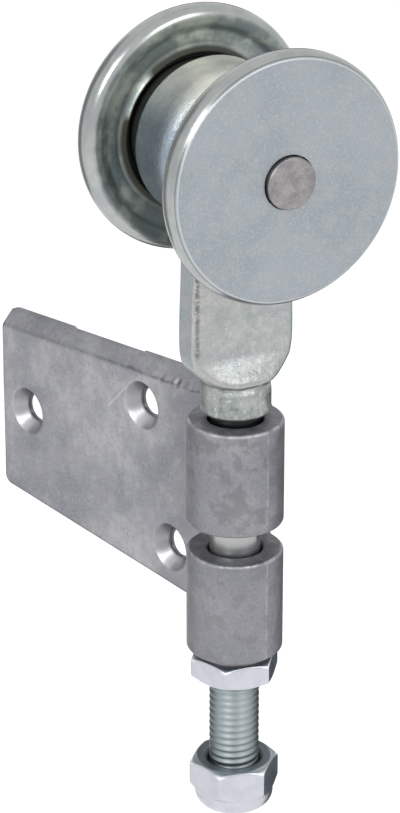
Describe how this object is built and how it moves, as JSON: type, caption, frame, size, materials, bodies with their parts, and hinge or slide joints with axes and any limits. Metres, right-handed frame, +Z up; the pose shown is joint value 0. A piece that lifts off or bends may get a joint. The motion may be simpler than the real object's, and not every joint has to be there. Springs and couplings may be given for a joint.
{
  "type": "folding door hanger roller",
  "caption": "Two-wheel track roller on a forged bolt with flat neck, carrying a swinging cast hinge leaf set for height by an adjusting nut and held by a lock nut.",
  "frame": {"origin": "middle of the wheel axle, on the bolt's axis", "axes": "+X is the way the wheels roll along the track, +Y runs along the axle to the rear wheel, +Z is up along the bolt"},
  "size_m": [0.058, 0.1234, 0.1952],
  "materials": {
    "wheel_zinc": "bright zinc plated, satin face",
    "forged_zinc": "zinc plated rough forging",
    "axle_steel": "dull sheared bar steel",
    "nut_zinc": "bright zinc plated",
    "bearing_steel": "ground and polished bearing steel",
    "leaf_casting": "bare, mottled die casting",
    "insert_nylon": "natural nylon",
    "cage_nylon": "black nylon",
    "washer_steel": "plain steel washer"
  },
  "bodies": {
    "hanger": {"hanger_bolt": "forged_zinc", "axle_pin": "axle_steel", "lock_nut": "nut_zinc", "lock_nut_insert": "insert_nylon", "front_shim_washer": "washer_steel", "front_bearing_inner_ring": "bearing_steel", "rear_shim_washer": "washer_steel", "rear_bearing_inner_ring": "bearing_steel"},
    "carriage": {"thrust_washer": "washer_steel"},
    "leaf": {"hinge_leaf": "leaf_casting"},
    "nut": {"adjusting_nut": "nut_zinc"},
    "front_roller": {"front_wheel": "wheel_zinc", "front_bearing_outer_ring": "bearing_steel", "front_bearing_shield": "washer_steel"},
    "front_ball_set": {"front_bearing_balls": "bearing_steel", "front_bearing_cage": "cage_nylon"},
    "rear_roller": {"rear_wheel": "wheel_zinc", "rear_bearing_outer_ring": "bearing_steel", "rear_bearing_shield": "washer_steel"},
    "rear_ball_set": {"rear_bearing_balls": "bearing_steel", "rear_bearing_cage": "cage_nylon"}
  },
  "joints": [
    {"name": "front_wheel_spin", "type": "hinge", "parent": "hanger", "child": "front_roller", "pos_m": [0, 0, 0], "axis": [0, 1, 0], "continuous": true},
    {"name": "front_ball_orbit", "type": "hinge", "parent": "hanger", "child": "front_ball_set", "pos_m": [0, 0, 0], "axis": [0, 1, 0], "continuous": true},
    {"name": "rear_wheel_spin", "type": "hinge", "parent": "hanger", "child": "rear_roller", "pos_m": [0, 0, 0], "axis": [0, 1, 0], "continuous": true},
    {"name": "rear_ball_orbit", "type": "hinge", "parent": "hanger", "child": "rear_ball_set", "pos_m": [0, 0, 0], "axis": [0, 1, 0], "continuous": true},
    {"name": "height_adjust", "type": "slide", "parent": "hanger", "child": "carriage", "axis": [0, 0, 1], "range_m": [-0.021, 0.0017]},
    {"name": "nut_turn", "type": "hinge", "parent": "carriage", "child": "nut", "pos_m": [0, 0, -0.128], "axis": [0, 0, 1], "range_deg": [-4341, 370]},
    {"name": "leaf_swing", "type": "hinge", "parent": "carriage", "child": "leaf", "pos_m": [0, 0, -0.094], "axis": [0, 0, 1], "continuous": true}
  ],
  "couplings": [
    {"joint": "front_ball_orbit", "follows": "front_wheel_spin", "ratio": 0.617},
    {"joint": "rear_ball_orbit", "follows": "rear_wheel_spin", "ratio": 0.617},
    {"joint": "nut_turn", "follows": "height_adjust", "rad_per_m": 3590.4}
  ]
}
